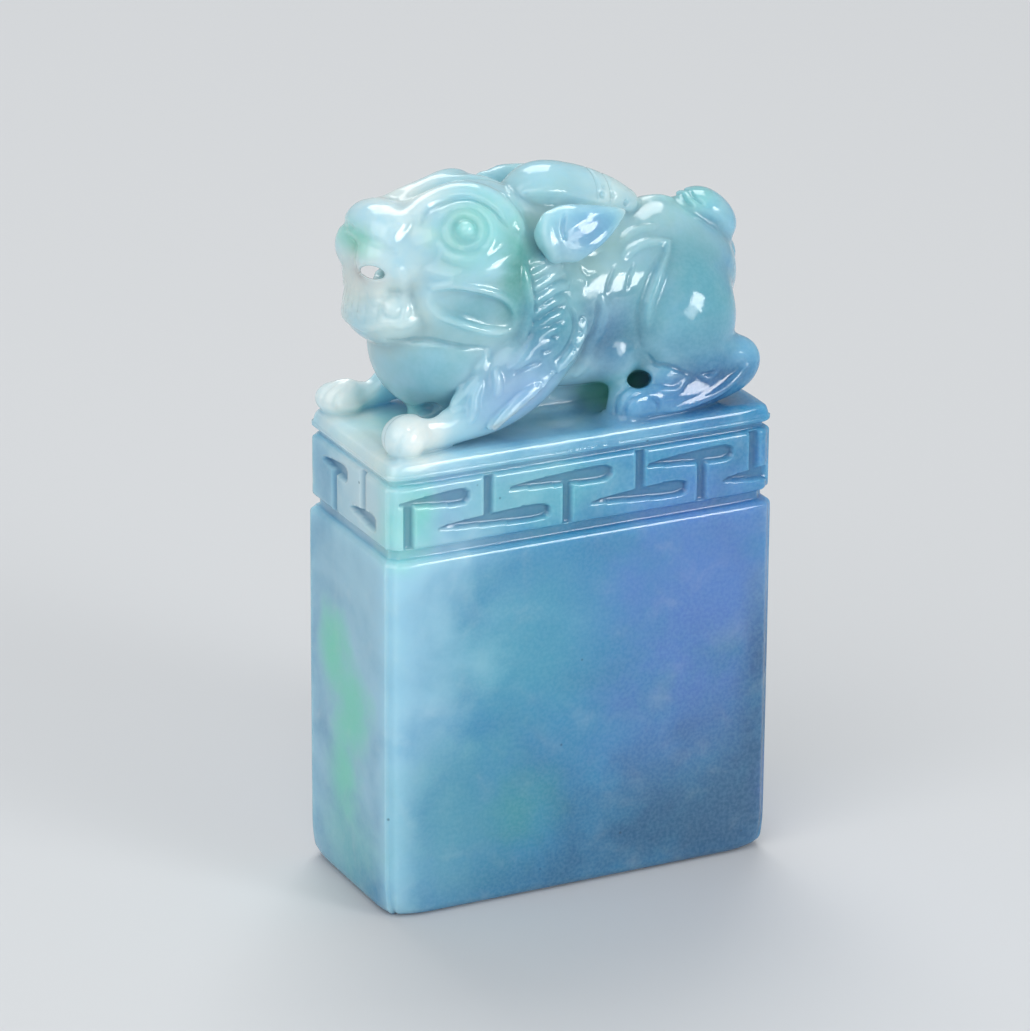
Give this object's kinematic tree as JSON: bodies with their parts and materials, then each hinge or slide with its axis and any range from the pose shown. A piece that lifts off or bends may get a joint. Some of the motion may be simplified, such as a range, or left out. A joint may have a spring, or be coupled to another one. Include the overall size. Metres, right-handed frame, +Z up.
{
  "type": "carved stone seal stamp",
  "caption": "Rectangular jade seal stamp with a key-fret border and plinth, and a crouching horned lion carved on top as the finger grip; its seal face is left bare.",
  "frame": {"origin": "centre of the seal face, the flat underside that the stamp stands on and prints with", "axes": "+Z up through the block to the grip, +X along the block's long side towards the lion's tail, +Y across its narrow side; the lion looks along -X and its left side faces -Y"},
  "size_m": [0.0336, 0.0154, 0.0578],
  "materials": {
    "blue_jade": "polished translucent jade, lavender blue",
    "ice_jade": "polished translucent jade, icy white",
    "green_jade": "polished translucent jade, pale green"
  },
  "bodies": {
    "root": {"seal_block": "blue_jade", "fret_band": "blue_jade", "plinth": "green_jade", "torso": "green_jade", "head": "ice_jade", "lower_jaw": "ice_jade", "horn": "ice_jade", "left_ear": "ice_jade", "right_ear": "ice_jade", "left_mane": "green_jade", "right_mane": "green_jade", "left_foreleg": "ice_jade", "right_foreleg": "ice_jade", "left_hind_leg": "green_jade", "right_hind_leg": "green_jade", "tail": "green_jade"}
  },
  "joints": []
}
